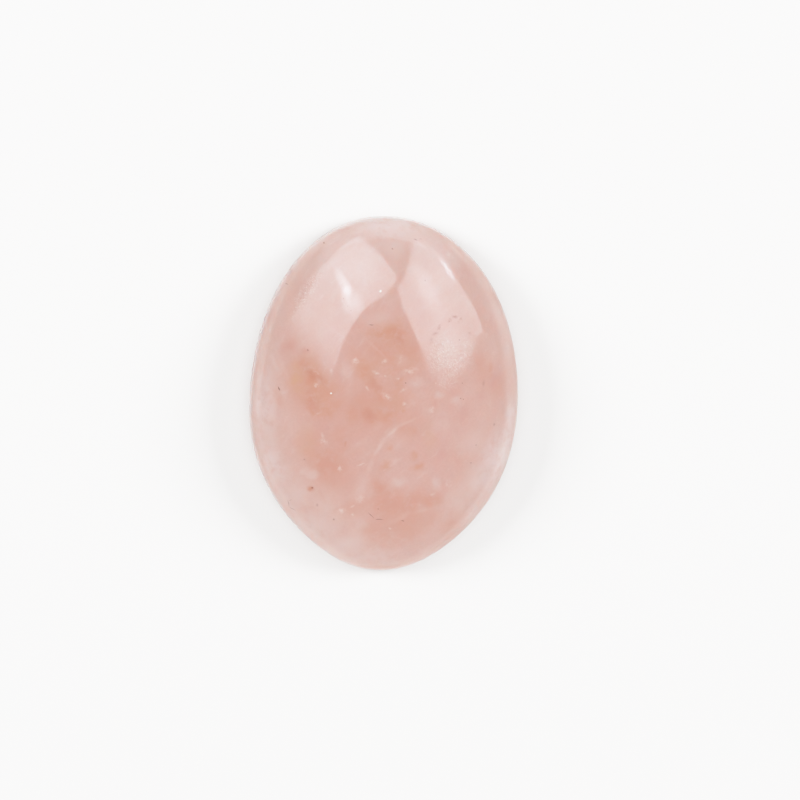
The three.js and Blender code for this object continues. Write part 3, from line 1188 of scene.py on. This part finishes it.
@dataclass(frozen=True)
class Studio:
    """A plain pale floor, two softboxes, a card, an overhead light and an even surround."""

    softboxes: tuple[Softbox, ...] = GLOSS_LIGHTS + BODY_LIGHTS + FLOOR_LIGHTS
    floor_side: float = 4.0  # metres
    floor_colour: str = "#c6c5c4"
    floor_roughness: float = 0.9
    floor_gloss: float = 0.2
    surround_seen: float = 1.5
    surround_light: float = 0.35

    def build(self) -> None:
        """Makes the floor, the lights and the surround."""
        floor = self._floor()
        for softbox in self.softboxes:
            softbox.build(floor)
        self._surround()
        Film().load()

    def _floor(self) -> bpy.types.Object:
        """Lays the floor.

        Returns:
            The floor.
        """
        half = self.floor_side / 2
        corners = [(-half, -half, 0), (half, -half, 0), (half, half, 0), (-half, half, 0)]
        mesh = bpy.data.meshes.new("floor")
        mesh.from_pydata(corners, [], [(0, 1, 2, 3)])
        floor = bpy.data.objects.new("floor", mesh)
        bpy.context.scene.collection.objects.link(floor)
        made = bpy.data.materials.new("matt_white_board")
        made.use_nodes = True
        tree = made.node_tree
        tree.nodes.clear()
        board = {
            "Base Color": linear(self.floor_colour),
            "Roughness": self.floor_roughness,
            "Specular IOR Level": self.floor_gloss,
        }
        shader = add_node(tree, "ShaderNodeBsdfPrincipled", board)
        add_node(tree, "ShaderNodeOutputMaterial", {"Surface": shader})
        mesh.materials.append(made)
        return floor

    def _surround(self) -> None:
        """Fills the room with even light, paler where it is looked at."""
        world = bpy.data.worlds.new("surround")
        bpy.context.scene.world = world
        world.use_nodes = True
        tree = world.node_tree
        tree.nodes.clear()
        looked_at = add_node(tree, "ShaderNodeLightPath", output="Is Camera Ray")
        ends = {"To Min": self.surround_light, "To Max": self.surround_seen}
        strength = add_node(tree, "ShaderNodeMapRange", {"Value": looked_at, **ends})
        light = add_node(tree, "ShaderNodeBackground", {"Color": (1, 1, 1, 1), "Strength": strength})
        add_node(tree, "ShaderNodeOutputWorld", {"Surface": light})


@dataclass(frozen=True)
class PhotoCamera:
    """The camera, looking down on the stone nearly square to its back."""

    lean_left: float = 6.0  # degrees that it stands off the upright, towards -X
    lean_up: float = 7.0  # and towards +Y
    roll: float = 1.3  # degrees that the stone is turned clockwise in the picture
    distance: float = 400.0  # millimetres
    frame_side: float = 89.8  # millimetres across the picture, at the stone's back
    picture_side_px: float = 800.0
    origin_px: tuple[float, float] = (383.4, 393.1)  # where the middle of the stone's back shows
    sensor_side: float = 36.0  # millimetres
    clip_m: tuple[float, float] = (0.01, 10.0)

    def build(self) -> bpy.types.Object:
        """Makes the camera and makes it the scene's.

        Returns:
            The camera.
        """
        away = Vector((-math.sin(math.radians(self.lean_left)), math.sin(math.radians(self.lean_up)), 0))
        away.z = math.sqrt(1 - away.length_squared)
        level_up = (Vector((0, 1, 0)) - away * away.y).normalized()
        level_right = level_up.cross(away)
        roll = math.radians(self.roll)
        right = level_right * math.cos(roll) + level_up * math.sin(roll)
        up = level_up * math.cos(roll) - level_right * math.sin(roll)
        pixel = self.frame_side / self.picture_side_px
        middle = self.picture_side_px / 2
        aim = right * (middle - self.origin_px[0]) * pixel - up * (middle - self.origin_px[1]) * pixel
        place = (aim + away * self.distance) * MM
        data = bpy.data.cameras.new("camera")
        data.sensor_width = self.sensor_side
        data.lens = self.sensor_side * self.distance / self.frame_side
        data.clip_start, data.clip_end = self.clip_m
        made = bpy.data.objects.new("camera", data)
        turn = Matrix((right, up, away)).transposed().to_4x4()
        made.matrix_world = Matrix.Translation(place) @ turn
        bpy.context.scene.collection.objects.link(made)
        bpy.context.scene.camera = made
        return made


def write_sizes() -> None:
    """Brings the scene up to date; it writes nothing."""
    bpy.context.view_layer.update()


def main() -> None:
    """Builds the stone, the studio and the camera."""
    low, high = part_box(CAD_NODE)
    width, length, height = (Vector(high) - Vector(low)) / MM
    PhotoCamera().build()
    log.info("camera placed")
    finish = PolishedRoseQuartz(MOTTLING, LAYERS, PITTED).material(width / 2, length / 2)
    stone = OvalStone(width, length, height).build(finish)
    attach(stone, "root")
    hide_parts(CAD_NODE)
    faces = len(stone.data.polygons)
    log.info("%s: %.1f x %.1f x %.1f mm, %d faces", stone.name, width, length, height, faces)
    Studio().build()
    log.info("studio lit")
    write_sizes()


if __name__ == "__main__":
    logging.basicConfig(level=logging.INFO, format="%(name)s: %(message)s")
    main()
